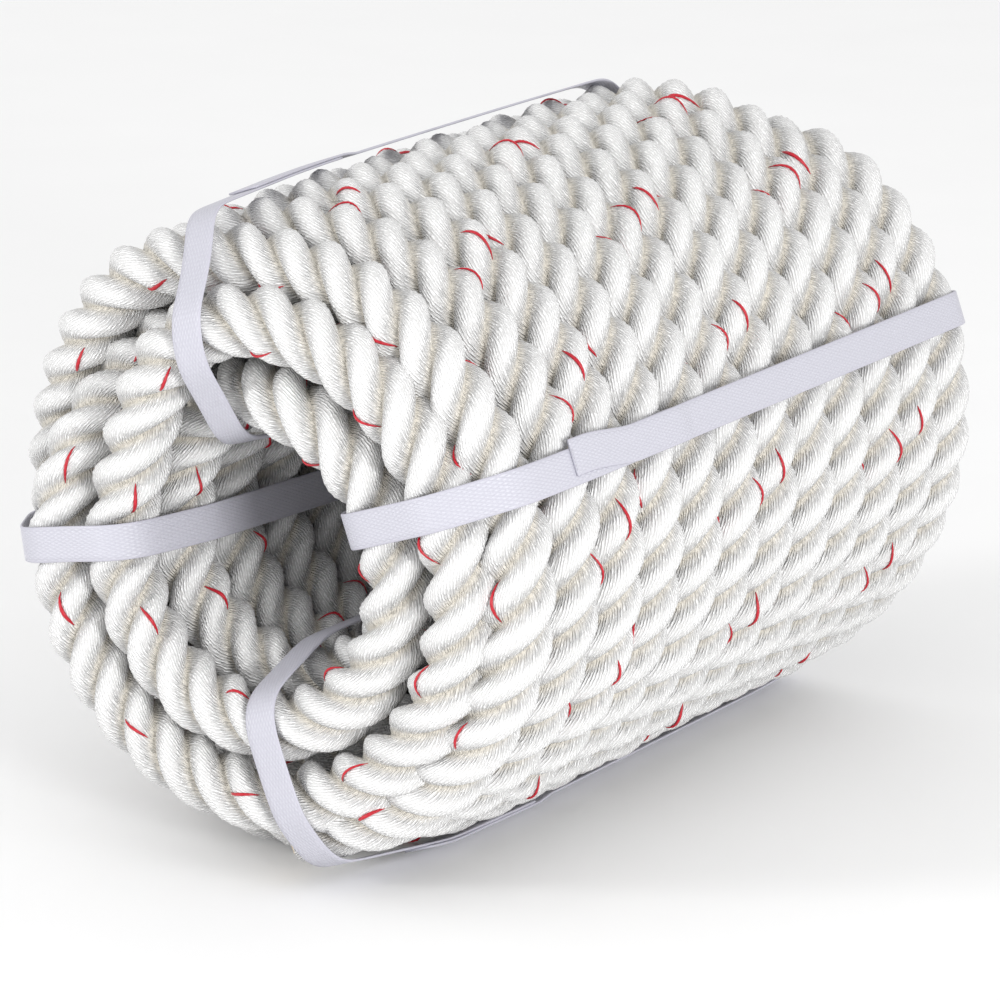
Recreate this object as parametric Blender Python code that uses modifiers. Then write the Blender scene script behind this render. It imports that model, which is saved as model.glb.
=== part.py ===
"""Coiled dock line: a thick laid rope wound into a hollow barrel and held by four plastic straps.

Metres, +Z up. The barrel lies on its side with its winding axis along Y, its front end towards -Y,
and it rests on the flat that its own weight presses into the lowest turns, at Z = 0.
The rope is one piece, wound in three layers, and each layer is a turned ring of its outer shape.
Each strap goes through the bore and round the wall, and its end is welded on top of itself.
"""

import math

import bmesh
import bpy

# Rope and winding
ROPE_DIAMETER = 0.024
BORE_RADIUS = 0.0355
TURNS_PER_LAYER = 11
LAYER_NAMES = ("inner", "middle", "outer")
TURN_SLACK = 0.0010
LAYER_SLACK = 0.0015
END_ROUNDING = 0.0115
SEAM_ROUNDING = 0.003
REST_FLAT_DEPTH = 0.0025

# Straps
STRAP_WIDTH = 0.012
STRAP_THICKNESS = 0.0008
STRAP_NAMES = ("right", "top", "left", "bottom")
STRAP_DEGREES = (20.0, 110.0, 189.0, 290.0)
WELD_START = 0.030
WELD_LENGTH = 0.060
WELD_FADE = 0.008

# Fits and fineness
TOUCHING_GAP = 0.0003
RING_STEPS = 64
ARC_STEPS = 4
CUTTER_MARGIN = 0.02

# Sizes that follow
ROPE_RADIUS = ROPE_DIAMETER / 2
TURN_PITCH = ROPE_DIAMETER + TURN_SLACK
LAYER_PITCH = ROPE_DIAMETER + LAYER_SLACK
INNER_TURN_RADIUS = BORE_RADIUS + ROPE_RADIUS
OUTER_RADIUS = INNER_TURN_RADIUS + (len(LAYER_NAMES) - 1) * LAYER_PITCH + ROPE_RADIUS
COIL_LENGTH = TURNS_PER_LAYER * TURN_PITCH + ROPE_DIAMETER
AXIS_HEIGHT = OUTER_RADIUS - REST_FLAT_DEPTH


def clear_scene():
    for item in list(bpy.data.objects):
        bpy.data.objects.remove(item, do_unlink=True)


def new_collection(name, shown=True):
    collection = bpy.data.collections.new(name)
    bpy.context.scene.collection.children.link(collection)
    collection.hide_render = not shown
    return collection


def new_material(name, colour, roughness, metallic=0.0):
    material = bpy.data.materials.new(name)
    material.use_nodes = True
    shader = material.node_tree.nodes["Principled BSDF"]
    shader.inputs["Base Color"].default_value = (*colour, 1.0)
    shader.inputs["Roughness"].default_value = roughness
    shader.inputs["Metallic"].default_value = metallic
    return material


def corner_arc(centre, radius, start_degrees):
    """Points of a quarter turn clockwise from start_degrees, counted anticlockwise from +X."""
    points = []
    for step in range(ARC_STEPS + 1):
        angle = math.radians(start_degrees - 90.0 * step / ARC_STEPS)
        points.append((centre[0] + radius * math.cos(angle), centre[1] + radius * math.sin(angle)))
    return points


def rounded_section(low, high, half_length, low_rounding, high_rounding):
    """A section from radius low to high, clockwise, so that its outer side runs down."""
    low_centre = low + low_rounding
    high_centre = high - high_rounding
    low_end = half_length - low_rounding
    high_end = half_length - high_rounding
    points = corner_arc((low_centre, low_end), low_rounding, 180.0)
    points += corner_arc((high_centre, high_end), high_rounding, 90.0)
    points += corner_arc((high_centre, -high_end), high_rounding, 0.0)
    points += corner_arc((low_centre, -low_end), low_rounding, -90.0)
    return points


def turn_section(item, points):
    """Fills the object's mesh with a closed section and turns it about the object's own Z."""
    mesh = item.data
    edges = [(index, (index + 1) % len(points)) for index in range(len(points))]
    mesh.from_pydata([(across, 0.0, along) for across, along in points], edges, [])
    screw = item.modifiers.new("Turn", "SCREW")
    screw.steps = RING_STEPS
    screw.render_steps = RING_STEPS
    screw.use_merge_vertices = True
    screw.merge_threshold = 0.00001
    screw.use_smooth_shade = True


def make_rest_cutter(cutters):
    """A block under the resting surface, as wide and long as the coil."""
    mesh = bpy.data.meshes.new("rest_cutter")
    shape = bmesh.new()
    bmesh.ops.create_cube(shape, size=1.0)
    across = 2 * OUTER_RADIUS + CUTTER_MARGIN
    along = COIL_LENGTH + CUTTER_MARGIN
    bmesh.ops.scale(shape, vec=(across, along, CUTTER_MARGIN), verts=shape.verts)
    bmesh.ops.translate(shape, vec=(0.0, 0.0, -CUTTER_MARGIN / 2), verts=shape.verts)
    shape.to_mesh(mesh)
    shape.free()
    cutter = bpy.data.objects.new("rest_cutter", mesh)
    cutter.display_type = "WIRE"
    cutter.hide_render = True
    cutters.objects.link(cutter)
    return cutter


def make_layer(index, parts, material):
    """One wound layer of the rope, as a turned ring that nests in the next with a small gap."""
    turn_radius = INNER_TURN_RADIUS + index * LAYER_PITCH
    low = turn_radius - LAYER_PITCH / 2 + TOUCHING_GAP / 2
    high = turn_radius + LAYER_PITCH / 2 - TOUCHING_GAP / 2
    low_rounding = SEAM_ROUNDING
    high_rounding = SEAM_ROUNDING
    if index == 0:
        low = BORE_RADIUS
        low_rounding = END_ROUNDING
    if index == len(LAYER_NAMES) - 1:
        high = OUTER_RADIUS
        high_rounding = END_ROUNDING
    name = "rope_" + LAYER_NAMES[index] + "_layer"
    layer = bpy.data.objects.new(name, bpy.data.meshes.new(name))
    turn_section(layer, rounded_section(low, high, COIL_LENGTH / 2, low_rounding, high_rounding))
    layer.location = (0.0, 0.0, AXIS_HEIGHT)
    layer.rotation_euler = (-math.pi / 2, 0.0, 0.0)
    layer.data.materials.append(material)
    parts.objects.link(layer)
    return layer


def press_flat(layer, cutter):
    press = layer.modifiers.new("Rest flat", "BOOLEAN")
    press.operation = "DIFFERENCE"
    press.object = cutter


def strap_inside():
    """The strap's inner outline: it clears the curved bore at the strap's edges, and the faces and the wall."""
    edge_rise = BORE_RADIUS - math.sqrt(BORE_RADIUS**2 - (STRAP_WIDTH / 2) ** 2)
    low = BORE_RADIUS - edge_rise - TOUCHING_GAP
    high = OUTER_RADIUS + TOUCHING_GAP
    half_length = COIL_LENGTH / 2 + TOUCHING_GAP
    return low, high, half_length, END_ROUNDING + TOUCHING_GAP


def weld_step(outside):
    """The welded end on the outer run: a square cut at the front, doubled, then fading into one layer."""
    start = WELD_START - COIL_LENGTH / 2
    doubled = outside + STRAP_THICKNESS
    return [
        (outside, start + WELD_LENGTH),
        (doubled, start + WELD_LENGTH - WELD_FADE),
        (doubled, start),
        (outside, start),
    ]


def strap_outside():
    low, high, half_length, rounding = strap_inside()
    low -= STRAP_THICKNESS
    high += STRAP_THICKNESS
    half_length += STRAP_THICKNESS
    rounding += STRAP_THICKNESS
    points = rounded_section(low, high, half_length, rounding, rounding)
    upper_half = 2 * (ARC_STEPS + 1)
    return points[:upper_half] + weld_step(high) + points[upper_half:]


def add_outline(curve, points):
    spline = curve.splines.new("POLY")
    spline.points.add(len(points) - 1)
    for point, place in zip(spline.points, points):
        point.co = (place[0], place[1], 0.0, 1.0)
    spline.use_cyclic_u = True


def make_strap(index, parts, material):
    """A flat band bent into one loop round the wall, in the plane of the winding axis."""
    name = "strap_" + STRAP_NAMES[index]
    curve = bpy.data.curves.new(name, "CURVE")
    curve.dimensions = "2D"
    curve.fill_mode = "BOTH"
    curve.extrude = STRAP_WIDTH / 2
    add_outline(curve, strap_outside())
    low, high, half_length, rounding = strap_inside()
    add_outline(curve, rounded_section(low, high, half_length, rounding, rounding))
    strap = bpy.data.objects.new(name, curve)
    angle = math.radians(STRAP_DEGREES[index])
    strap.location = (0.0, 0.0, AXIS_HEIGHT)
    strap.rotation_euler = (0.0, -angle, 0.0)
    strap.data.materials.append(material)
    parts.objects.link(strap)


def main():
    clear_scene()
    parts = new_collection("coiled_dock_line")
    cutters = new_collection("cutters", shown=False)
    rope = new_material("white_rope_filament", (0.84, 0.82, 0.77), 0.35)
    strapping = new_material("white_strapping", (0.82, 0.81, 0.86), 0.45)
    layers = [make_layer(index, parts, rope) for index in range(len(LAYER_NAMES))]
    press_flat(layers[-1], make_rest_cutter(cutters))
    for index in range(len(STRAP_NAMES)):
        make_strap(index, parts, strapping)


main()
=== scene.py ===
"""Coiled dock line: a thick laid rope in a hollow barrel coil, with a red tracer and four plastic straps.

Run as a script in Blender. Each piece is made by its own operator, which the panel in the sidebar lists too.
Metres, +Z up. The winding axis lies along Y at a fixed height, with the front of the coil towards -Y.
"""

import math

import bmesh
import bpy
import numpy as np
from bpy.props import FloatProperty, FloatVectorProperty, IntProperty, PointerProperty, StringProperty
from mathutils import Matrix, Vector


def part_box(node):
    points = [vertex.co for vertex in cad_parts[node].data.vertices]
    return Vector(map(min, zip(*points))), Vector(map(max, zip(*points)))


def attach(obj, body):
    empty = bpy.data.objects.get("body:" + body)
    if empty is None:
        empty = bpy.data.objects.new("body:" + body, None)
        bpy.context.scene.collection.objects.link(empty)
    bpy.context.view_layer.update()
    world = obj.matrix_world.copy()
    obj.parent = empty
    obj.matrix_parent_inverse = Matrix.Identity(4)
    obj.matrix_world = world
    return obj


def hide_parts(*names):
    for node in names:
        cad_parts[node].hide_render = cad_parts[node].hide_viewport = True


bl_info = {
    "name": "Coiled dock line",
    "version": (1, 0, 0),
    "blender": (4, 5, 0),
    "location": "View3D > Sidebar > Dock line",
    "description": "Builds a coiled three-strand dock line with its strapping",
    "category": "Add Mesh",
}

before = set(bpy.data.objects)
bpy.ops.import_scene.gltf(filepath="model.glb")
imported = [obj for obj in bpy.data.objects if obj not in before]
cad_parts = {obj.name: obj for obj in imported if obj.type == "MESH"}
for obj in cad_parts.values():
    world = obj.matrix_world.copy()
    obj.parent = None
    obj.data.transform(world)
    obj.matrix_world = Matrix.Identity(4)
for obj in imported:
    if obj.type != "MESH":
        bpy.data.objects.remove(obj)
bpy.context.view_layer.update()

# Where the coil lies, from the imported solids
OUTER_LOW, OUTER_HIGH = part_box("rope_outer_layer")
INNER_LOW, INNER_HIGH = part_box("rope_inner_layer")
COIL_RADIUS = (OUTER_HIGH[0] - OUTER_LOW[0]) / 2
COIL_LENGTH = OUTER_HIGH[1] - OUTER_LOW[1]
AXIS_HEIGHT = (INNER_HIGH[2] + INNER_LOW[2]) / 2

# The winding, counted in turns from the rope's outer end
FULL_TURN = 2 * math.pi
START_ANGLE = math.radians(-81.0)
LAYERS = 3
TURNS_PER_LAYER = 11
OUTER_TO_MIDDLE = 11.45
MIDDLE_TO_INNER = 22.572
CLIMB_TURNS = 0.18
LAYER_STEP = 0.0255
TURN_PITCH = 0.0244
SAMPLES_PER_TURN = 720

# The turns nearest a front are flat rings with a jog each, and go over to a helix within some turns.
JOG_TURNS = 0.16
RING_FADE_TURNS = 4.0

# Middles of the turns at the ends of the layers, along the axis
OUTER_FRONT = -0.1353
MIDDLE_FRONT = -0.1420
INNER_FRONT = -0.1405
MIDDLE_BACK = 0.1320
OUTER_BACK = 0.139
OUTER_BACK_ROUNDING = 0.003
OUTER_LEAN = 0.0030

# How far the first outer turns are drawn in, in metres, at these angles round the coil, in degrees
DRAWN_IN = (
    (0.0, 50.0, 80.0, 98.0, 110.0, 120.0, 132.0, 140.0)
    + (150.0, 175.0, 195.0, 230.0, 268.0, 288.0, 312.0, 360.0),
    (26e-4, 63e-4, 85e-4, 80e-4, 40e-4, 10e-4, 20e-4, 32e-4)
    + (45e-4, 48e-4, 85e-4, 50e-4, 45e-4, 85e-4, 35e-4, 26e-4),
)
DRAWN_IN_TURNS = 1.31

# Beside the top strap they are also pulled forward, round this angle in degrees.
PULL_ANGLE = 130.0
PULL_HALF_WIDTH = 30.0
PULL = 0.006

# The front turn of each inner layer stands out by a mean and a swing that is greatest at an angle.
MIDDLE_OUT = (0.0060, 0.0027, math.radians(310.0))
INNER_OUT = (0.0057, 0.0030, math.radians(290.0))
FRONT_TURNS = 0.9
FRONT_FADE_TURNS = 0.3

# Unevenness of the winding, along the axis and away from it
WANDER_RATES = (1.37, 2.61, 4.19, 6.83)
WANDER_ALONG = 0.0007
WANDER_OUT = 0.0006

# Spacing of the rope's rings at these turns: close where the rope shows, and wider in the hidden layer
RING_TURNS = (0.0, 11.5, 11.9, 21.2, 21.5, 23.6, 23.9, 33.0)
RING_SPACING = (0.0025, 0.0025, 0.0060, 0.0060, 0.0027, 0.0027, 0.0033, 0.0033)

# The rope's section: three round strands, in shares of the rope's radius
STRANDS = 3
STRAND_POINTS = 10
STRAND_OFFSET = 0.467
STRAND_RADIUS = 0.533
CREST_SWELL = 1.015
RIB_SHIFT = 17.3  # sets one strand's ribs off from the next one's

# A fused end, ring by ring: its share of the rope's section and its height
END_DOME = ((0.93, 0.0008), (0.62, 0.0014), (0.30, 0.0017))
END_HEIGHT = 0.0018

# Bows of the tracer yarn
BOW_SIDES = 6
BOW_RINGS = 9
BOW_SHARE = 0.52  # of the yarn lay
BOW_HALF_WIDTH = 0.00058
BOW_HALF_HEIGHT = 0.0004
BOW_LIFT = 0.00045
BOW_SUNK = 0.00015

# For each strap: its angle round the coil in degrees from +X towards +Z, how far from the front its weld
# starts, how far it lies to the side at the wall, in the middle of the front face and in the bore, and how
# far its weld does. Sideways is towards greater angles.
STRAP_COURSES = {
    "right": (20.0, 0.0365, (0.0, 0.0, 0.0), 0.0028),
    "top": (110.0, 0.050, (-0.0160, -0.0085, 0.0034), 0.0),
    "left": (189.0, 0.060, (-0.0050, -0.0070, -0.0050), -0.001),
    "bottom": (290.0, 0.050, (-0.0065, -0.0080, -0.0060), 0.001),
}
STRAP_LEVER = 0.085  # its mean distance from the winding axis
STRAP_STEP = 0.001
STRAP_REST = 1.09  # the round that it rests on, over the rope's own
STRAP_SMOOTHINGS = 30
WELD_GAP = 0.0001

# The stage
SOFTBOXES = {"key_softbox": ((2.0, -1.3, 0.6), 29.0), "fill_softbox": ((-1.5, -1.8, 0.8), 18.0)}
SOFTBOX_SIZE = 0.5
COIL_MIDDLE = (0.0, 0.0, 0.1)
SKY_STRENGTH = 0.9
FLOOR_HALF_SIZE = 4.0
FLOOR_DROP = 0.0004


class RopeSettings(bpy.types.PropertyGroup):
    diameter: FloatProperty(
        name="Diameter",
        description="Diameter of the rope over the crests of its strands",
        default=0.024,
        min=0.004,
        unit="LENGTH",
        subtype="DISTANCE",
    )
    length: FloatProperty(
        name="Length",
        description="Length of the rope along its middle",
        default=15.24,
        min=1.0,
        unit="LENGTH",
        subtype="DISTANCE",
    )
    lay: FloatProperty(
        name="Lay",
        description="Length in which a strand goes once round the rope",
        default=0.0485,
        min=0.01,
        unit="LENGTH",
        subtype="DISTANCE",
    )
    yarn_lay: FloatProperty(
        name="Yarn lay",
        description="Length of rope in which a yarn goes once round its strand",
        default=0.0240,
        min=0.005,
        unit="LENGTH",
        subtype="DISTANCE",
    )
    rib_lay: FloatProperty(
        name="Rib lay",
        description="Length of rope in which the fine ribs of the filament go once round their strand",
        default=0.031,
        min=0.005,
        unit="LENGTH",
        subtype="DISTANCE",
    )
    yarns: IntProperty(
        name="Yarns",
        description="Number of yarns round a strand",
        default=40,
        min=6,
    )
    filament_colour: StringProperty(
        name="Filament colour",
        description="Colour of the rope's filament, as an sRGB hex value",
        default="#FFFFFF",
    )
    # Painted shade: the warm colour painted deep between the strands, where shade falls.
    groove_shade_colour: StringProperty(
        name="Groove colour",
        description="Colour deep between the strands, as an sRGB hex value",
        default="#EBE3D3",
    )
    tracer_colour: StringProperty(
        name="Tracer colour",
        description="Colour of the tracer yarn, as an sRGB hex value",
        default="#D4142C",
    )


class StrapSettings(bpy.types.PropertyGroup):
    width: FloatProperty(
        name="Width",
        description="Width of the strapping",
        default=0.012,
        min=0.004,
        unit="LENGTH",
        subtype="DISTANCE",
    )
    thickness: FloatProperty(
        name="Thickness",
        description="Thickness of the strapping over its embossing",
        default=0.0008,
        min=0.0002,
        unit="LENGTH",
        subtype="DISTANCE",
    )
    weld_length: FloatProperty(
        name="Weld length",
        description="Length over which the two ends lie on each other",
        default=0.060,
        min=0.01,
        unit="LENGTH",
        subtype="DISTANCE",
    )
    colour: StringProperty(
        name="Colour",
        description="Colour of the strapping, as an sRGB hex value",
        default="#C4C4CD",
    )


class StageSettings(bpy.types.PropertyGroup):
    azimuth: FloatProperty(
        name="Azimuth",
        description="Angle of the camera round the coil, from the front towards the right",
        default=math.radians(32.8),
        subtype="ANGLE",
    )
    elevation: FloatProperty(
        name="Elevation",
        description="Angle of the camera above the horizon",
        default=math.radians(15.5),
        subtype="ANGLE",
    )
    distance: FloatProperty(
        name="Distance",
        description="Distance of the camera from the point that it looks at",
        default=1.917,
        min=0.1,
        unit="LENGTH",
        subtype="DISTANCE",
    )
    target: FloatVectorProperty(
        name="Target",
        description="Point that the camera looks at",
        default=(-0.0221, 0.0398, 0.0805),
        unit="LENGTH",
        subtype="XYZ",
    )
    lens: FloatProperty(
        name="Lens",
        description="Focal length of the camera, in millimetres",
        default=197.4,
        min=10.0,
    )


# Shaders


def colour_of(text):
    """Turns an sRGB hex value into the linear colour that a shader takes."""
    values = [int(text[place : place + 2], 16) / 255 for place in (1, 3, 5)]
    linear = [v / 12.92 if v <= 0.04045 else ((v + 0.055) / 1.055) ** 2.4 for v in values]
    return (*linear, 1.0)


def add_node(tree, kind, settings=None, links=None):
    """Adds a node with its settings, and its inputs as values or as (node, output) links."""
    node = tree.nodes.new(kind)
    for name, value in (settings or {}).items():
        setattr(node, name, value)
    for name, value in (links or {}).items():
        socket = node.inputs[name]
        if isinstance(value, tuple) and isinstance(value[0], bpy.types.Node):
            tree.links.new(value[0].outputs[value[1]], socket)
        else:
            socket.default_value = value
    return node


def new_material(name):
    material = bpy.data.materials.new(name)
    material.use_nodes = True
    tree = material.node_tree
    tree.nodes.clear()
    return material, tree


def calculate(tree, operation, *values):
    """Adds a maths node on values or (node, output) links."""
    return add_node(tree, "ShaderNodeMath", {"operation": operation}, dict(enumerate(values)))


def map_range(tree, value, source, target, interpolation="SMOOTHSTEP"):
    """Adds a node that takes a value from one (low, high) range to another."""
    return add_node(
        tree,
        "ShaderNodeMapRange",
        {"interpolation_type": interpolation},
        {
            "Value": value,
            "From Min": source[0],
            "From Max": source[1],
            "To Min": target[0],
            "To Max": target[1],
        },
    )


def surface_noise(tree, uv_map, stretch, detail, roughness):
    """Adds noise on a UV map, with its own rate in each direction."""
    place = add_node(
        tree,
        "ShaderNodeVectorMath",
        {"operation": "MULTIPLY"},
        {0: (uv_map, "UV"), 1: (*stretch, 1.0)},
    )
    return add_node(
        tree,
        "ShaderNodeTexNoise",
        {"noise_dimensions": "2D"},
        {"Vector": (place, "Vector"), "Scale": 1.0, "Detail": detail, "Roughness": roughness},
    )


def object_noise(tree, scale, detail, roughness):
    """Adds noise in the object's own space."""
    place = add_node(tree, "ShaderNodeTexCoord")
    return add_node(
        tree,
        "ShaderNodeTexNoise",
        links={"Vector": (place, "Object"), "Scale": scale, "Detail": detail, "Roughness": roughness},
    )


def mix_colours(tree, factor, low, high):
    return add_node(
        tree, "ShaderNodeMix", {"data_type": "RGBA"}, {"Factor": factor, "A": low, "B": high}
    )


def add_bump(tree, height, strength, distance):
    return add_node(
        tree, "ShaderNodeBump", links={"Strength": strength, "Distance": distance, "Height": height}
    )


def finish_material(tree, inputs):
    """Ends the material with a Principled shader that has these inputs."""
    shader = add_node(tree, "ShaderNodeBsdfPrincipled", links=inputs)
    output = add_node(tree, "ShaderNodeOutputMaterial")
    tree.links.new(shader.outputs[0], output.inputs["Surface"])


def laid_filament_material(rope):
    """Bright continuous filament nylon, twisted into yarns and laid: glossy ribs across each strand, with
    painted glints on the ribs and painted shade between them, a painted highlight on each crest, and painted
    warm shade between the strands."""
    material, tree = new_material("laid_nylon_filament")
    # U counts ribs round the strand, V is millimetres along the rope.
    yarns = add_node(tree, "ShaderNodeUVMap", {"uv_map": "yarns"})
    parts = add_node(tree, "ShaderNodeSeparateXYZ", links={"Vector": (yarns, "UV")})
    unevenness = surface_noise(tree, yarns, (0.45, 0.16), 1.0, 0.5)
    shifted = calculate(tree, "MULTIPLY_ADD", (unevenness, "Fac"), 0.9, (parts, "X"))
    angle = calculate(tree, "MULTIPLY", (shifted, "Value"), math.pi)
    wave = calculate(tree, "SINE", (angle, "Value"))
    rib = calculate(tree, "MULTIPLY", (wave, "Value"), (wave, "Value"))
    # Filaments lie loose in places, so a rib fades out and comes back, in its bump and in its painted glint.
    stroke = surface_noise(tree, yarns, (1.3, 0.45), 1.0, 0.5)
    depth = map_range(tree, (stroke, "Fac"), (0.35, 0.6), (0.15, 1.0), "LINEAR")
    broken = calculate(tree, "MULTIPLY", (rib, "Value"), (depth, "Result"))
    fine = surface_noise(tree, yarns, (3.2, 0.30), 2.0, 0.6)
    height = calculate(tree, "MULTIPLY_ADD", (fine, "Fac"), 0.35, (broken, "Value"))
    # The crest of a strand is rubbed smooth, and the ribs stand out on its flanks.
    groove = add_node(tree, "ShaderNodeAttribute", {"attribute_name": "groove"})
    relief = map_range(tree, (groove, "Fac"), (0.0, 0.5), (0.62, 1.0))
    bump = add_bump(tree, (height, "Value"), (relief, "Result"), 0.0007)
    # Painted highlight: near the crest of each strand the grey between the ribs is painted lighter.
    crest = map_range(tree, (groove, "Fac"), (0.0, 0.5), (0.35, 0.05))
    # Painted glints and painted shade: the tops of the ribs are painted the filament's white and the lows
    # between them a grey (#C3C2C1).
    painted_rib_glint = map_range(tree, (height, "Value"), (0.22, 0.8), ((crest, "Result"), 1.0))
    filament = mix_colours(
        tree, (painted_rib_glint, "Result"), colour_of("#C3C2C1"), colour_of(rope.filament_colour)
    )
    # Painted shade: deep between the strands the colour goes over to the warm groove shade colour.
    groove_painted_shade = map_range(tree, (groove, "Fac"), (0.40, 1.0), (0.0, 0.75))
    colour = mix_colours(
        tree, (groove_painted_shade, "Result"), (filament, "Result"), colour_of(rope.groove_shade_colour)
    )
    gloss = map_range(tree, (fine, "Fac"), (0.3, 0.7), (0.18, 0.30), "LINEAR")
    inputs = {
        "Base Color": (colour, "Result"),
        "Roughness": (gloss, "Result"),
        "Normal": (bump, "Normal"),
        "IOR": 1.53,
        "Metallic": 0.0,
        "Sheen Weight": 0.15,
        "Sheen Roughness": 0.35,
    }
    finish_material(tree, inputs)
    return material


def fused_end_material():
    """Nylon melted by a hot knife: a smooth, slightly glassy beige skin with small burn marks."""
    material, tree = new_material("fused_nylon_end")
    blotch = object_noise(tree, 320.0, 3.0, 0.55)
    colour = mix_colours(tree, (blotch, "Fac"), colour_of("#B79B71"), colour_of("#E9DDC6"))
    bump = add_bump(tree, (blotch, "Fac"), 0.5, 0.0008)
    inputs = {
        "Base Color": (colour, "Result"),
        "Roughness": 0.28,
        "Normal": (bump, "Normal"),
        "IOR": 1.53,
        "Metallic": 0.0,
    }
    finish_material(tree, inputs)
    return material


def tracer_material(rope):
    """Solution-dyed red filament yarn: strong red, with painted shade in darker lines between its filaments.
    """
    material, tree = new_material("dyed_red_tracer_yarn")
    # U goes once round the yarn, V is millimetres along the rope.
    yarn = add_node(tree, "ShaderNodeUVMap", {"uv_map": "yarn"})
    streak = surface_noise(tree, yarn, (9.0, 0.5), 2.0, 0.5)
    # Painted shade: the low lines of the streak bump, between the filaments, are painted a darker red.
    colour = mix_colours(
        tree, (streak, "Fac"), colour_of("#9E0C20"), colour_of(rope.tracer_colour)
    )
    bump = add_bump(tree, (streak, "Fac"), 0.6, 0.0003)
    inputs = {
        "Base Color": (colour, "Result"),
        "Roughness": 0.42,
        "Normal": (bump, "Normal"),
        "IOR": 1.53,
        "Metallic": 0.0,
    }
    finish_material(tree, inputs)
    return material


def strapping_material(strap):
    """Extruded polypropylene strapping, rolled with a diamond emboss: a cool white satin that sparkles in
    fine crossing lines, with smooth pressed edges."""
    material, tree = new_material("embossed_polypropylene_strapping")
    # U is millimetres across the band, V millimetres along it.
    band = add_node(tree, "ShaderNodeUVMap", {"uv_map": "band"})
    parts = add_node(tree, "ShaderNodeSeparateXYZ", links={"Vector": (band, "UV")})
    diamond_length = 3.2
    slope = 2.6
    waves = []
    for lean in (slope, -slope):
        line = calculate(tree, "MULTIPLY_ADD", (parts, "X"), lean, (parts, "Y"))
        angle = calculate(tree, "MULTIPLY", (line, "Value"), math.pi / diamond_length)
        wave = calculate(tree, "SINE", (angle, "Value"))
        waves.append(calculate(tree, "ABSOLUTE", (wave, "Value")))
    diamond = calculate(tree, "MINIMUM", (waves[0], "Value"), (waves[1], "Value"))
    across = calculate(tree, "ABSOLUTE", (parts, "X"))
    inside = map_range(tree, (across, "Value"), (5.0, 5.5), (1.0, 0.0))
    relief = calculate(tree, "MULTIPLY", (diamond, "Value"), (inside, "Result"))
    bump = add_bump(tree, (relief, "Value"), 0.6, 0.00025)
    # Painted shade: the sunk lines of the emboss are painted a darker grey, and the flat edges take the same
    # grey.
    colour = mix_colours(tree, (relief, "Value"), colour_of("#BCBBC6"), colour_of(strap.colour))
    inputs = {
        "Base Color": (colour, "Result"),
        "Roughness": 0.4,
        "Normal": (bump, "Normal"),
        "IOR": 1.49,
        "Metallic": 0.0,
    }
    finish_material(tree, inputs)
    return material


def floor_material():
    """Matt painted board: an even near-white with the faintest mottling."""
    material, tree = new_material("matt_white_board")
    mottle = object_noise(tree, 14.0, 2.0, 0.5)
    colour = mix_colours(tree, (mottle, "Fac"), colour_of("#F7F7F7"), colour_of("#FAFAFA"))
    finish_material(tree, {"Base Color": (colour, "Result"), "Roughness": 0.8, "IOR": 1.45})
    return material


# The rope's route


def smooth_step(values):
    clipped = np.clip(values, 0.0, 1.0)
    return clipped * clipped * (3.0 - 2.0 * clipped)


def wander(turns, seed, size):
    """A slow, repeatable unevenness, as hand-tight winding leaves it."""
    total = np.zeros_like(turns)
    for order, rate in enumerate(WANDER_RATES):
        total += np.sin(FULL_TURN * rate * turns + seed * 1.7 + order * 2.3) / (1.0 + 0.5 * order)
    return total * size / 2.0


def softened(values, samples):
    """A running mean, which rounds the corners between layers."""
    kernel = np.hanning(samples + 2)[1:-1]
    kernel /= kernel.sum()
    padded = np.concatenate([np.full(samples, values[0]), values, np.full(samples, values[-1])])
    return np.convolve(padded, kernel, "same")[samples:-samples]


def stepped(turns):
    """Turns from a front, which start as flat rings with a short jog each and go over to an even helix."""
    turns = np.maximum(turns, 0.0)
    whole = np.floor(turns)
    ring = whole + smooth_step((turns - whole - 1.0 + JOG_TURNS) / JOG_TURNS)
    return turns + (ring - turns) * np.exp(-turns / RING_FADE_TURNS)


def standing_out(angle, mean, swing, towards):
    return mean + swing * np.cos(angle - towards)


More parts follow.
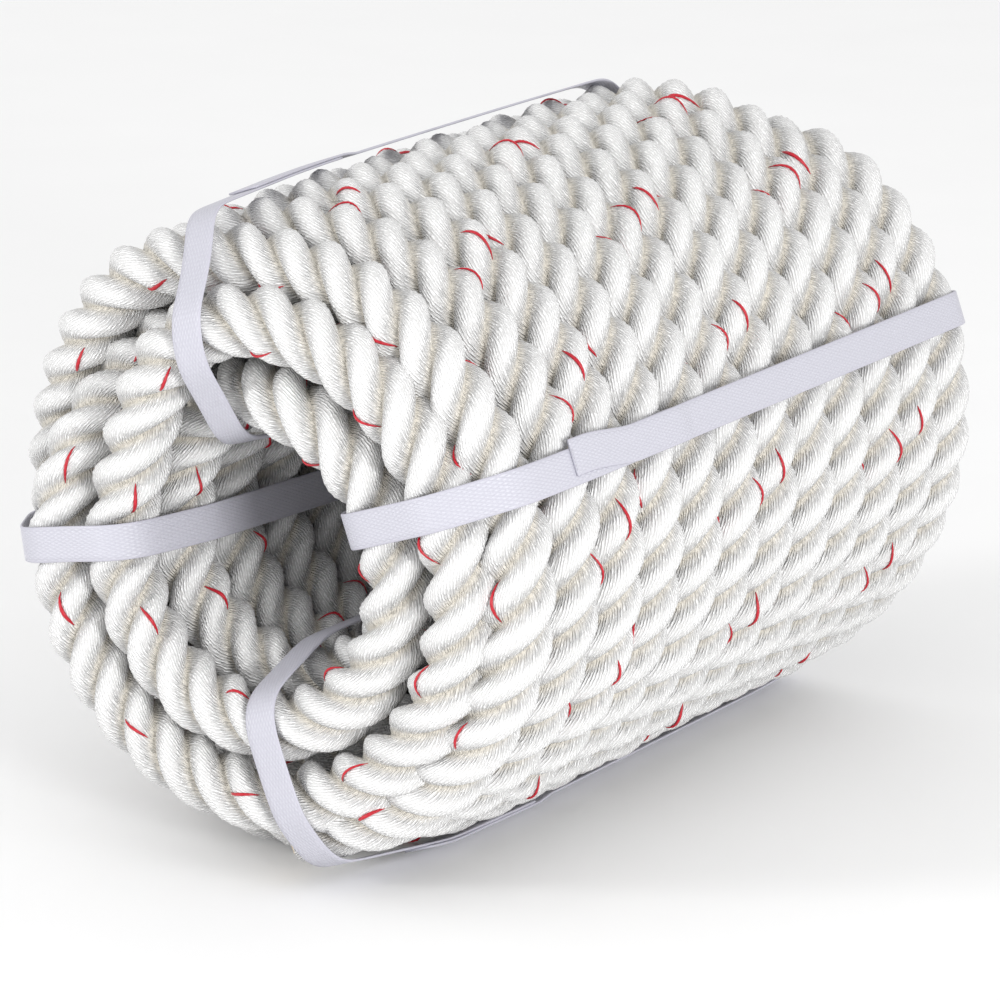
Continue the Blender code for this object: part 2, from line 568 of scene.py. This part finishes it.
class Route:
    """The middle line of the rope from its outer end, with a frame of three directions at each sample."""

    def __init__(self, rope):
        radius = rope.diameter / 2
        turns = np.arange(0.0, LAYERS * TURNS_PER_LAYER + 1.0, 1.0 / SAMPLES_PER_TURN)
        angle = START_ANGLE + FULL_TURN * turns
        degrees = np.degrees(angle) % 360.0
        to_middle = smooth_step((turns - OUTER_TO_MIDDLE) / CLIMB_TURNS + 0.5)
        to_inner = smooth_step((turns - MIDDLE_TO_INNER) / CLIMB_TURNS + 0.5)
        reach = COIL_RADIUS - radius - LAYER_STEP * (to_middle + to_inner)
        at_start = np.exp(-((turns / DRAWN_IN_TURNS) ** 2))
        reach -= np.interp(degrees, *DRAWN_IN) * at_start
        before = MIDDLE_TO_INNER - turns
        past_front = (abs(before) - FRONT_TURNS) / FRONT_FADE_TURNS
        in_front = 1.0 - smooth_step(past_front)
        reach += (before > 0) * in_front * standing_out(angle, *MIDDLE_OUT)
        reach += (before <= 0) * in_front * standing_out(angle, *INNER_OUT)
        outer_along = OUTER_FRONT + TURN_PITCH * turns - OUTER_LEAN * np.cos(angle)
        beside = np.exp(-(((degrees - PULL_ANGLE) / PULL_HALF_WIDTH) ** 2))
        outer_along -= PULL * beside * at_start
        # No outer turn passes the back, and the last ones come up to it gently.
        room = (OUTER_BACK - outer_along) / OUTER_BACK_ROUNDING
        outer_along = OUTER_BACK - np.logaddexp(0.0, room) * OUTER_BACK_ROUNDING
        middle_pitch = (MIDDLE_BACK - MIDDLE_FRONT) / (MIDDLE_TO_INNER - OUTER_TO_MIDDLE)
        middle_along = MIDDLE_FRONT + middle_pitch * stepped(before)
        inner_along = INNER_FRONT + TURN_PITCH * stepped(-before)
        along = outer_along + to_middle * (middle_along - outer_along)
        along = np.where(before > 0, along, inner_along)
        along = softened(along, SAMPLES_PER_TURN // 12)
        reach = softened(reach, SAMPLES_PER_TURN // 12)
        along = along + wander(turns, 1.0, WANDER_ALONG)
        reach = reach + wander(turns, 2.0, WANDER_OUT)
        across = reach * np.cos(angle)
        up = AXIS_HEIGHT + reach * np.sin(angle)
        up = np.maximum(up, radius)
        points = np.stack([across, along, up], axis=1)
        steps = np.linalg.norm(np.diff(points, axis=0), axis=1)
        distance = np.concatenate([[0.0], np.cumsum(steps)])
        kept = distance <= rope.length
        self.turns = turns[kept]
        self.angle = angle[kept]
        self.points = points[kept]
        self.distance = distance[kept]
        tangent = np.gradient(self.points, self.distance, axis=0)
        self.tangent = tangent / np.linalg.norm(tangent, axis=1)[:, None]
        outward = np.stack(
            [np.cos(self.angle), np.zeros(len(self.angle)), np.sin(self.angle)], axis=1
        )
        outward -= self.tangent * (outward * self.tangent).sum(axis=1)[:, None]
        self.outward = outward / np.linalg.norm(outward, axis=1)[:, None]
        self.side = np.cross(self.tangent, self.outward)

    def at(self, distances):
        """Points and the three directions at these distances from the outer end."""
        found = []
        for rows in (self.points, self.outward, self.side):
            columns = [np.interp(distances, self.distance, rows[:, k]) for k in range(3)]
            found.append(np.stack(columns, axis=1))
        return found

    def stations(self):
        """Distances of the rings: close on the turns that show, and wider in the hidden layer."""
        spacing = np.interp(self.turns, RING_TURNS, RING_SPACING)
        count = np.concatenate([[0.0], np.cumsum(np.diff(self.distance) / spacing[1:])])
        rings = int(math.ceil(count[-1]))
        return np.interp(np.linspace(0.0, count[-1], rings + 1), count, self.distance)


def strand_reach():
    """The local angle at which a strand's round meets its neighbour's, and its distance from the middle."""
    edge = FULL_TURN / STRANDS / 2
    b = STRAND_OFFSET * math.cos(edge)
    rho = b + math.sqrt(b * b - STRAND_OFFSET**2 + STRAND_RADIUS**2)
    return math.atan2(rho * math.sin(edge), rho * math.cos(edge) - STRAND_OFFSET), rho


def strand_twist(rope, distances):
    return FULL_TURN * distances / rope.lay


def strand_size(distances, strand):
    """Each strand bulges and thins a little along the rope."""
    slow = 0.02 * np.sin(distances * 83.0 + strand * 2.1)
    quick = 0.015 * np.sin(distances * 211.0 + strand)
    return 1.0 + slow + quick


def press_to_floor(points):
    """The lowest turns are flattened where the coil rests."""
    points[:, 2] = np.maximum(points[:, 2], 0.0)
    return points


def rope_rings(rope, route, distances):
    """Points of every ring, ring by ring, with the depth of each point below the crest of its strand."""
    centre, outward, side = route.at(distances)
    limit, rho = strand_reach()
    local = np.linspace(-limit, limit, STRAND_POINTS + 1)[:-1]
    radius = rope.diameter / 2 * CREST_SWELL
    twist = strand_twist(rope, distances)
    rows = []
    depths = []
    for strand in range(STRANDS):
        middle = twist + FULL_TURN * strand / STRANDS
        size = strand_size(distances, strand) * radius
        for place in local:
            bulge = np.where(abs(place) >= limit - 1e-9, radius, size)
            x = bulge * (STRAND_OFFSET * np.cos(middle) + STRAND_RADIUS * np.cos(middle + place))
            y = bulge * (STRAND_OFFSET * np.sin(middle) + STRAND_RADIUS * np.sin(middle + place))
            rows.append(centre + outward * x[:, None] + side * y[:, None])
            depth = (1.0 - np.hypot(x, y) / radius) / (1.0 - rho)
            depths.append(np.clip(depth, 0.0, 1.0))
    points = np.stack(rows, axis=1)
    return points, np.stack(depths, axis=1)


def tube_quads(rings, per_ring):
    """The faces of an open tube, whose points are listed ring by ring."""
    column = np.arange(per_ring)
    following = (column + 1) % per_ring
    base = (np.arange(rings - 1) * per_ring)[:, None]
    above = base + per_ring
    corners = [base + column, base + following, above + following, above + column]
    return np.stack(corners, axis=2).reshape(-1, 4)


def build_mesh(name, points, quads, triangles):
    """A smooth-shaded mesh, with its triangles after its quads."""
    mesh = bpy.data.meshes.new(name)
    sizes = np.concatenate([np.full(len(quads), 4), np.full(len(triangles), 3)]).astype(np.int32)
    corners = np.concatenate([np.asarray(quads).reshape(-1), np.asarray(triangles).reshape(-1)])
    mesh.vertices.add(len(points))
    mesh.vertices.foreach_set("co", np.asarray(points, np.float32).reshape(-1))
    mesh.loops.add(len(corners))
    mesh.loops.foreach_set("vertex_index", corners.astype(np.int32))
    mesh.polygons.add(len(sizes))
    starts = np.concatenate([[0], np.cumsum(sizes)[:-1]]).astype(np.int32)
    mesh.polygons.foreach_set("loop_start", starts)
    mesh.update(calc_edges=True)
    mesh.polygons.foreach_set("use_smooth", np.ones(len(sizes), bool))
    mesh.validate()
    return mesh


def add_uv(mesh, name, corners):
    """Adds a UV map with these corners. The end faces, which come after them, keep zero."""
    uv = np.zeros((len(mesh.loops), 2), np.float32)
    uv[: len(corners)] = corners
    mesh.uv_layers.new(name=name).data.foreach_set("uv", uv.reshape(-1))


def add_piece(name, mesh, materials):
    piece = bpy.data.objects.new(name, mesh)
    for material in materials:
        mesh.materials.append(material)
    bpy.context.scene.collection.objects.link(piece)
    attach(piece, "root")
    return piece


def end_cap(ring, middle, outwards, first_index):
    """The points of a low dome that closes one end of the rope, and the index of its tip."""
    points = []
    for size, rise in END_DOME:
        points.append(middle + (ring - middle) * size + outwards * rise)
    points.append((middle + outwards * END_HEIGHT)[None, :])
    return np.concatenate(points), first_index + len(END_DOME) * len(ring)


def rope_mesh(rope, route):
    """The rope's mesh, and the distances of its rings along the rope."""
    distances = route.stations()
    points, depths = rope_rings(rope, route, distances)
    rings, per_ring = points.shape[:2]
    flat = press_to_floor(points.reshape(-1, 3))
    column = np.arange(per_ring)
    following = (column + 1) % per_ring
    quads = tube_quads(rings, per_ring)
    extra_points = []
    extra_quads = []
    triangles = []
    next_index = len(flat)
    for ring_index, sign in ((0, -1.0), (rings - 1, 1.0)):
        ring = flat[ring_index * per_ring : (ring_index + 1) * per_ring]
        row = -1 if ring_index else 0
        outwards = route.tangent[row] * sign
        added, tip = end_cap(ring, ring.mean(axis=0), outwards, next_index)
        layers = [ring_index * per_ring + column]
        layers += [next_index + k * per_ring + column for k in range(len(END_DOME))]
        for lower, upper in zip(layers, layers[1:]):
            face = np.stack([lower, lower[following], upper[following], upper], axis=1)
            extra_quads.append(face if sign > 0 else face[:, ::-1])
        last = layers[-1]
        fan = np.stack([last, last[following], np.full(per_ring, tip)], axis=1)
        triangles.append(fan if sign > 0 else fan[:, ::-1])
        extra_points.append(added)
        next_index += len(added)
    body_quads = len(quads)
    all_points = press_to_floor(np.concatenate([flat, *extra_points]))
    all_quads = np.concatenate([quads, *extra_quads])
    mesh = build_mesh("rope", all_points, all_quads, np.concatenate(triangles))
    # For each corner of each face, the ribs' count round the strand and millimetres along the rope
    limit, _ = strand_reach()
    step = 2 * limit / STRAND_POINTS
    local = -limit + step * (column % STRAND_POINTS)
    ribs_per_radian = rope.yarns / FULL_TURN
    drift = FULL_TURN * distances / rope.rib_lay
    start, end = drift[:-1, None], drift[1:, None]
    turned = [local + start, local + step + start, local + step + end, local + end]
    strand_shift = (column // STRAND_POINTS) * RIB_SHIFT
    across = np.stack(turned, axis=2) * ribs_per_radian + strand_shift[None, :, None]
    start, end = distances[:-1], distances[1:]
    along = np.repeat(np.stack([start, start, end, end], axis=1), per_ring, axis=0) * 1000.0
    add_uv(mesh, "yarns", np.stack([across.reshape(-1), along.reshape(-1)], axis=1))
    groove = mesh.attributes.new("groove", "FLOAT", "POINT")
    values = np.ones(len(all_points), np.float32)
    values[: depths.size] = depths.reshape(-1)
    groove.data.foreach_set("value", values)
    slots = np.zeros(len(mesh.polygons), np.int32)
    slots[body_quads:] = 1
    mesh.polygons.foreach_set("material_index", slots)
    return mesh, distances


def tracer_mesh(rope, route):
    """Short bows of the tracer where it comes to the surface of its strand, once in each yarn lay."""
    radius = rope.diameter / 2 * CREST_SWELL
    rng = np.random.default_rng(7)
    bow_length = rope.yarn_lay * BOW_SHARE
    # Clear of both ends
    starts = np.arange(0.012, rope.length - 0.02, rope.yarn_lay)
    places = np.linspace(-1, 1, BOW_RINGS)
    taper = np.sqrt(np.clip(1.0 - places**2, 0.0, 1.0))
    bow_points = BOW_RINGS * BOW_SIDES
    points = []
    quads = []
    caps = []
    uvs = []
    for index, start in enumerate(starts):
        # The bow is centred near its strand's crest, but not on it.
        middle_turn = rng.uniform(-0.25, 0.25)
        length = bow_length * rng.uniform(0.75, 1.1)
        distances = start + np.linspace(-0.5, 0.5, BOW_RINGS) * length
        place = middle_turn - FULL_TURN * (distances - start) / rope.yarn_lay
        twist = strand_twist(rope, distances)
        centre, outward, side = route.at(distances)
        half_width = BOW_HALF_WIDTH * (0.25 + 0.75 * taper) * rng.uniform(0.8, 1.2)
        lift = BOW_LIFT * taper - BOW_SUNK
        size = radius * strand_size(distances, 0)
        surface = STRAND_RADIUS * size
        ring_points = []
        for k in range(BOW_SIDES):
            turn = FULL_TURN * k / BOW_SIDES
            reach = surface + lift + BOW_HALF_HEIGHT * math.sin(turn) * (0.3 + 0.7 * taper)
            shift = place + half_width * math.cos(turn) / surface
            x = STRAND_OFFSET * size * np.cos(twist) + reach * np.cos(twist + shift)
            y = STRAND_OFFSET * size * np.sin(twist) + reach * np.sin(twist + shift)
            ring_points.append(centre + outward * x[:, None] + side * y[:, None])
        points.append(np.stack(ring_points, axis=1).reshape(-1, 3))
        first = index * bow_points
        quads.append(tube_quads(BOW_RINGS, BOW_SIDES) + first)
        for v0, v1 in zip(distances * 1000, distances[1:] * 1000):
            for k in range(BOW_SIDES):
                u0, u1 = k / BOW_SIDES, (k + 1) / BOW_SIDES
                uvs += [(u0, v0), (u1, v0), (u1, v1), (u0, v1)]
        last = first + bow_points - BOW_SIDES
        caps += [(first, first + k + 1, first + k) for k in range(1, BOW_SIDES - 1)]
        caps += [(last, last + k, last + k + 1) for k in range(1, BOW_SIDES - 1)]
    flat = press_to_floor(np.concatenate(points))
    mesh = build_mesh("tracer", flat, np.concatenate(quads), np.array(caps))
    add_uv(mesh, "yarn", np.array(uvs))
    return mesh


class DOCKLINE_OT_rope(bpy.types.Operator):
    """Lays the rope in its three layers, with fused ends and the tracer yarn"""

    bl_idname = "dockline.rope"
    bl_label = "Coiled rope"

    def execute(self, context):
        rope = context.scene.dockline_rope
        route = Route(rope)
        mesh, distances = rope_mesh(rope, route)
        if not len(mesh.polygons):
            raise RuntimeError("the rope has no faces")
        materials = [laid_filament_material(rope), fused_end_material()]
        rope_piece = add_piece("laid_rope", mesh, materials)
        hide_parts("rope_inner_layer", "rope_middle_layer", "rope_outer_layer")
        tracer = add_piece("tracer_yarn", tracer_mesh(rope, route), [tracer_material(rope)])
        return {"FINISHED"}


# Straps


def hull_of(points):
    """The convex hull of points in a plane, anticlockwise."""
    order = sorted(map(tuple, points))
    halves = []
    for run in (order, order[::-1]):
        half = []
        for point in run:
            while len(half) > 1:
                (ax, ay), (bx, by) = half[-2], half[-1]
                if (bx - ax) * (point[1] - ay) - (by - ay) * (point[0] - ax) > 0:
                    break
                half.pop()
            half.append(point)
        halves.append(half[:-1])
    return np.array(halves[0] + halves[1])


def strap_loop(rope, route, angle, low, high):
    """A taut loop round the wall of the coil at one angle, as evenly spaced (reach, along) points. The band
    rests on the highest rope between its two sideways limits."""
    reach = np.hypot(route.points[:, 0], route.points[:, 2] - AXIS_HEIGHT)
    centres = []
    for offset in np.linspace(low, high, 5) / STRAP_LEVER:
        turn_offset = ((angle + offset - START_ANGLE) / FULL_TURN) % 1.0
        crossings = np.arange(turn_offset, route.turns[-1], 1.0)
        row = np.interp(crossings, route.turns, reach) * math.cos(offset)
        along = np.interp(crossings, route.turns, route.points[:, 1])
        centres.append(np.stack([row, along], axis=1))
    centres = np.concatenate(centres)
    circle = np.linspace(0.0, FULL_TURN, 48, endpoint=False)
    ring = np.stack([np.cos(circle), np.sin(circle)], axis=1) * rope.diameter / 2 * STRAP_REST
    hull = hull_of((centres[:, None, :] + ring[None, :, :]).reshape(-1, 2))
    closed = np.concatenate([hull, hull[:1]])
    steps = np.linalg.norm(np.diff(closed, axis=0), axis=1)
    distance = np.concatenate([[0.0], np.cumsum(steps)])
    count = int(distance[-1] / STRAP_STEP)
    places = np.linspace(0.0, distance[-1], count, endpoint=False)
    loop = np.stack([np.interp(places, distance, closed[:, k]) for k in range(2)], axis=1)
    for _ in range(STRAP_SMOOTHINGS):
        loop = (np.roll(loop, 1, axis=0) + 2 * loop + np.roll(loop, -1, axis=0)) / 4
    return loop


class Band:
    """The course of one strap: its middle line, its upward and its sideways direction."""

    def __init__(self, rope, strap, route, angle, weld_start, slip, weld_shift):
        # The band's footprint, a little short of its edges
        edge = strap.width * 0.4
        loop = strap_loop(rope, route, angle, min(0.0, *slip) - edge, max(0.0, *slip) + edge)
        # The loop runs anticlockwise in (reach, along), so it goes towards the back on the wall.
        outer = loop[:, 0] > COIL_RADIUS - 0.008
        front = -COIL_LENGTH / 2 + weld_start
        first = int(np.argmin(np.where(outer, abs(loop[:, 1] - front), 1.0)))
        loop = np.roll(loop, -first, axis=0)
        overlap = int(strap.weld_length / STRAP_STEP)
        line = np.concatenate([loop, loop[: overlap + 1]])
        tangent = np.gradient(line, axis=0)
        tangent /= np.linalg.norm(tangent, axis=1)[:, None]
        normal = np.stack([tangent[:, 1], -tangent[:, 0]], axis=1)
        place = np.arange(len(line)) * STRAP_STEP
        # The first end lies on top of the last one.
        on_top = 1.0 - smooth_step((place - strap.weld_length) / 0.010)
        lift = strap.thickness / 2 + (strap.thickness + WELD_GAP) * on_top
        line = line + normal * lift[:, None]
        # The first end's own shift goes back to nothing within the weld.
        shift = weld_shift * (1.0 - smooth_step((place - 0.006) / 0.030))
        # The band slips sideways between the front of the wall, the middle of the face and the bore.
        lap = place[-1] - strap.weld_length
        face = (place + weld_start + lap / 2) % lap - lap / 2
        at_wall, at_middle, in_bore = slip
        slipped = np.interp(
            face, (-0.200, -0.080, -0.040, 0.0, 0.100), (0.0, in_bore, at_middle, at_wall, 0.0)
        )
        shift = shift + softened(slipped, 61)
        radial = np.array([math.cos(angle), 0.0, math.sin(angle)])
        sideways = np.array([-math.sin(angle), 0.0, math.cos(angle)])
        axis = np.array([0.0, 1.0, 0.0])
        self.middle = (
            np.array([0.0, 0.0, AXIS_HEIGHT])
            + radial * line[:, :1]
            + axis * line[:, 1:2]
            + sideways * shift[:, None]
        )
        self.normal = radial * normal[:, :1] + axis * normal[:, 1:2]
        self.sideways = sideways
        self.place = place


def strap_section(strap):
    """The band's section, as (across, up) points with its two edges tapered."""
    half = strap.width / 2
    thick = strap.thickness / 2
    taper = 0.0003
    steps = np.linspace(-1.0, 1.0, 7)
    top = [(x * (half - taper), thick) for x in steps]
    bottom = [(x * (half - taper), -thick) for x in steps[::-1]]
    return np.array(top + [(half, 0.0)] + bottom + [(-half, 0.0)])


def strap_mesh(strap, band):
    section = strap_section(strap)
    rings, per_ring = len(band.middle), len(section)
    points = (
        band.middle[:, None, :]
        + band.sideways * section[None, :, :1]
        + band.normal[:, None, :] * section[None, :, 1:]
    )
    flat = press_to_floor(points.reshape(-1, 3))
    quads = tube_quads(rings, per_ring)
    column = np.arange(per_ring)
    following = (column + 1) % per_ring
    fan = np.stack([np.zeros(per_ring - 2, int), column[1:-1], column[2:]], axis=1)
    triangles = np.concatenate([fan[:, ::-1], fan + (rings - 1) * per_ring])
    mesh = build_mesh("strap", flat, quads, triangles)
    # Millimetres across the band and along it, for each corner of each face
    widths = section[:, 0] * 1000
    across = np.stack(
        [widths[column], widths[following], widths[following], widths[column]], axis=1
    )
    low, high = band.place[:-1] * 1000, band.place[1:] * 1000
    along = np.repeat(np.stack([low, low, high, high], axis=1), per_ring, axis=0)
    corners = np.stack([np.tile(across.reshape(-1), rings - 1), along.reshape(-1)], axis=1)
    add_uv(mesh, "band", corners)
    return mesh


class DOCKLINE_OT_straps(bpy.types.Operator):
    """Runs four straps through the bore and round the wall, each welded to itself on the outside"""

    bl_idname = "dockline.straps"
    bl_label = "Straps"

    def execute(self, context):
        strap = context.scene.dockline_strap
        rope = context.scene.dockline_rope
        route = Route(rope)
        material = strapping_material(strap)
        for name, (degrees, *course) in STRAP_COURSES.items():
            band = Band(rope, strap, route, math.radians(degrees), *course)
            piece = add_piece("strap_band_" + name, strap_mesh(strap, band), [material])
            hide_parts("strap_" + name)
        return {"FINISHED"}


# Stage


def add_softbox(name, place, power):
    light = bpy.data.lights.new(name, "AREA")
    light.shape = "RECTANGLE"
    light.size = SOFTBOX_SIZE
    light.size_y = SOFTBOX_SIZE
    light.energy = power
    item = bpy.data.objects.new(name, light)
    item.location = place
    towards = Vector(COIL_MIDDLE) - Vector(place)
    item.rotation_euler = towards.to_track_quat("-Z", "Y").to_euler()
    bpy.context.scene.collection.objects.link(item)


class DOCKLINE_OT_stage(bpy.types.Operator):
    """Adds the floor, soft studio lights and the camera"""

    bl_idname = "dockline.stage"
    bl_label = "Stage"

    def execute(self, context):
        stage = context.scene.dockline_stage
        shape = bmesh.new()
        bmesh.ops.create_grid(shape, x_segments=1, y_segments=1, size=FLOOR_HALF_SIZE)
        mesh = bpy.data.meshes.new("floor")
        shape.to_mesh(mesh)
        shape.free()
        floor = bpy.data.objects.new("floor", mesh)
        floor.location = (0.0, 0.0, -FLOOR_DROP)
        mesh.materials.append(floor_material())
        context.scene.collection.objects.link(floor)

        world = bpy.data.worlds.new("studio")
        world.use_nodes = True
        background = world.node_tree.nodes["Background"]
        background.inputs["Color"].default_value = (1.0, 1.0, 1.0, 1.0)
        background.inputs["Strength"].default_value = SKY_STRENGTH
        context.scene.world = world

        for name, (place, power) in SOFTBOXES.items():
            add_softbox(name, place, power)

        camera = bpy.data.cameras.new("camera")
        camera.lens = stage.lens
        camera.sensor_width = 36.0
        camera.clip_start = 0.05
        item = bpy.data.objects.new("camera", camera)
        away = Vector(
            (
                math.sin(stage.azimuth) * math.cos(stage.elevation),
                -math.cos(stage.azimuth) * math.cos(stage.elevation),
                math.sin(stage.elevation),
            )
        )
        item.location = Vector(stage.target) + away * stage.distance
        item.rotation_euler = (-away).to_track_quat("-Z", "Y").to_euler()
        context.scene.collection.objects.link(item)
        context.scene.camera = item
        context.scene.view_settings.view_transform = "Standard"
        return {"FINISHED"}


class DOCKLINE_PT_panel(bpy.types.Panel):
    """Sizes and colours of the coiled dock line, and a button for each piece"""

    bl_idname = "DOCKLINE_PT_panel"
    bl_label = "Coiled dock line"
    bl_space_type = "VIEW_3D"
    bl_region_type = "UI"
    bl_category = "Dock line"

    def draw(self, context):
        for group, operator in (
            ("dockline_rope", "dockline.rope"),
            ("dockline_strap", "dockline.straps"),
            ("dockline_stage", "dockline.stage"),
        ):
            box = self.layout.box()
            settings = getattr(context.scene, group)
            for name in settings.bl_rna.properties.keys():
                if name not in ("rna_type", "name"):
                    box.prop(settings, name)
            box.operator(operator)


CLASSES = (
    RopeSettings,
    StrapSettings,
    StageSettings,
    DOCKLINE_OT_rope,
    DOCKLINE_OT_straps,
    DOCKLINE_OT_stage,
    DOCKLINE_PT_panel,
)


def register():
    for item in CLASSES:
        bpy.utils.register_class(item)
    bpy.types.Scene.dockline_rope = PointerProperty(type=RopeSettings)
    bpy.types.Scene.dockline_strap = PointerProperty(type=StrapSettings)
    bpy.types.Scene.dockline_stage = PointerProperty(type=StageSettings)


def unregister():
    del bpy.types.Scene.dockline_stage
    del bpy.types.Scene.dockline_strap
    del bpy.types.Scene.dockline_rope
    for item in reversed(CLASSES):
        bpy.utils.unregister_class(item)


def main():
    register()
    bpy.ops.dockline.rope()
    bpy.ops.dockline.straps()
    bpy.ops.dockline.stage()


if __name__ == "__main__":
    main()
